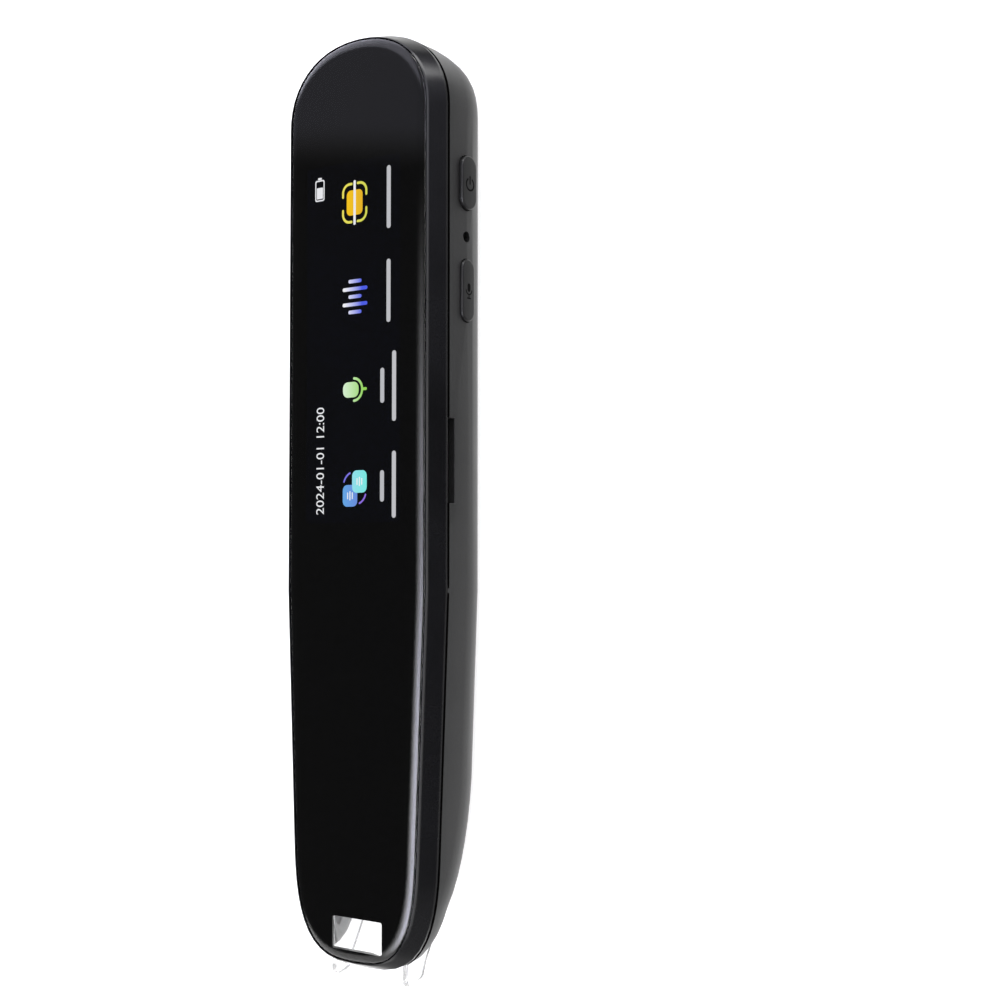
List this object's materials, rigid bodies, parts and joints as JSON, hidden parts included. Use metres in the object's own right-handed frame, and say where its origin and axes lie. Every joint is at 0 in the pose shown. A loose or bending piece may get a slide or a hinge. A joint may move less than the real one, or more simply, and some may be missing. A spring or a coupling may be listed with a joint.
{
  "type": "scanning pen",
  "caption": "Slim handheld scanning pen with a glossy display on its front, side buttons, a rear speaker plate and a clear sprung scan tip at the nose.",
  "frame": {"origin": "on the flat rest face of the back, midway along the housing without the clear tip and midway across", "axes": "+Z out of the display glass, +Y along the pen from the nose to the rounded top end, +X towards the side with the buttons"},
  "size_m": [0.0337, 0.1523, 0.0166],
  "materials": {
    "frame_plastic": "satin dark",
    "cover_glass": "gloss, printed black behind, clear at the scanning window",
    "adhesive": "matt tape",
    "display": "lit panel",
    "foam": "matt foam",
    "flex_film": "amber film",
    "shell_plastic": "fine-grained matt",
    "plate_plastic": "fine-grained matt",
    "mesh_cloth": "fine woven",
    "speaker_metal": "satin",
    "button_plastic": "satin",
    "circuit_board": "solder mask",
    "switch_metal": "satin",
    "socket_metal": "satin",
    "screw_steel": "satin",
    "chip_black": "matt",
    "shield_metal": "satin",
    "battery_foil": "satin foil",
    "clear_tip": "clear",
    "spring_steel": "bright",
    "chamber_plastic": "matt dark",
    "light_board": "white solder mask",
    "lamp_resin": "clear resin",
    "lens_glass": "coated"
  },
  "bodies": {
    "pen_body": {"front_frame": "frame_plastic", "cover_glass": "cover_glass", "glass_tape": "adhesive", "display_panel": "display", "display_foam": "foam", "display_flex": "flex_film", "rear_shell": "shell_plastic", "speaker_plate": "plate_plastic", "speaker_mesh": "mesh_cloth", "speaker_gasket": "foam", "speaker": "speaker_metal", "key_board": "circuit_board", "power_switch": "switch_metal", "voice_switch": "switch_metal", "microphone": "socket_metal", "main_board": "circuit_board", "board_screws": "screw_steel", "processor": "chip_black", "memory_chip": "chip_black", "radio_shield": "shield_metal", "power_chip": "chip_black", "card_socket": "socket_metal", "usb_socket": "socket_metal", "battery": "battery_foil", "battery_pad": "adhesive", "tip_spring_left": "spring_steel", "tip_spring_right": "spring_steel", "scan_chamber": "chamber_plastic", "light_board": "light_board", "scan_lights": "lamp_resin", "tip_switch": "chip_black", "camera_lens": "lens_glass", "camera_holder": "chamber_plastic", "sensor_board": "circuit_board", "camera_flex": "flex_film"},
    "tip_body": {"scan_tip": "clear_tip"},
    "power_key": {"power_button": "button_plastic"},
    "voice_key": {"voice_button": "button_plastic"}
  },
  "joints": [
    {"name": "tip_slide", "type": "slide", "parent": "pen_body", "child": "tip_body", "axis": [0, 1, 0], "range_m": [0, 0.0012], "stiffness_N_per_m": 400, "springref_m": -0.0015, "deforming": ["tip_spring_left", "tip_spring_right"]},
    {"name": "power_press", "type": "slide", "parent": "pen_body", "child": "power_key", "axis": [-1, 0, 0], "range_m": [0, 0.0003], "stiffness_N_per_m": 1500, "springref_m": -0.0003},
    {"name": "voice_press", "type": "slide", "parent": "pen_body", "child": "voice_key", "axis": [-1, 0, 0], "range_m": [0, 0.0003], "stiffness_N_per_m": 1500, "springref_m": -0.0003}
  ]
}
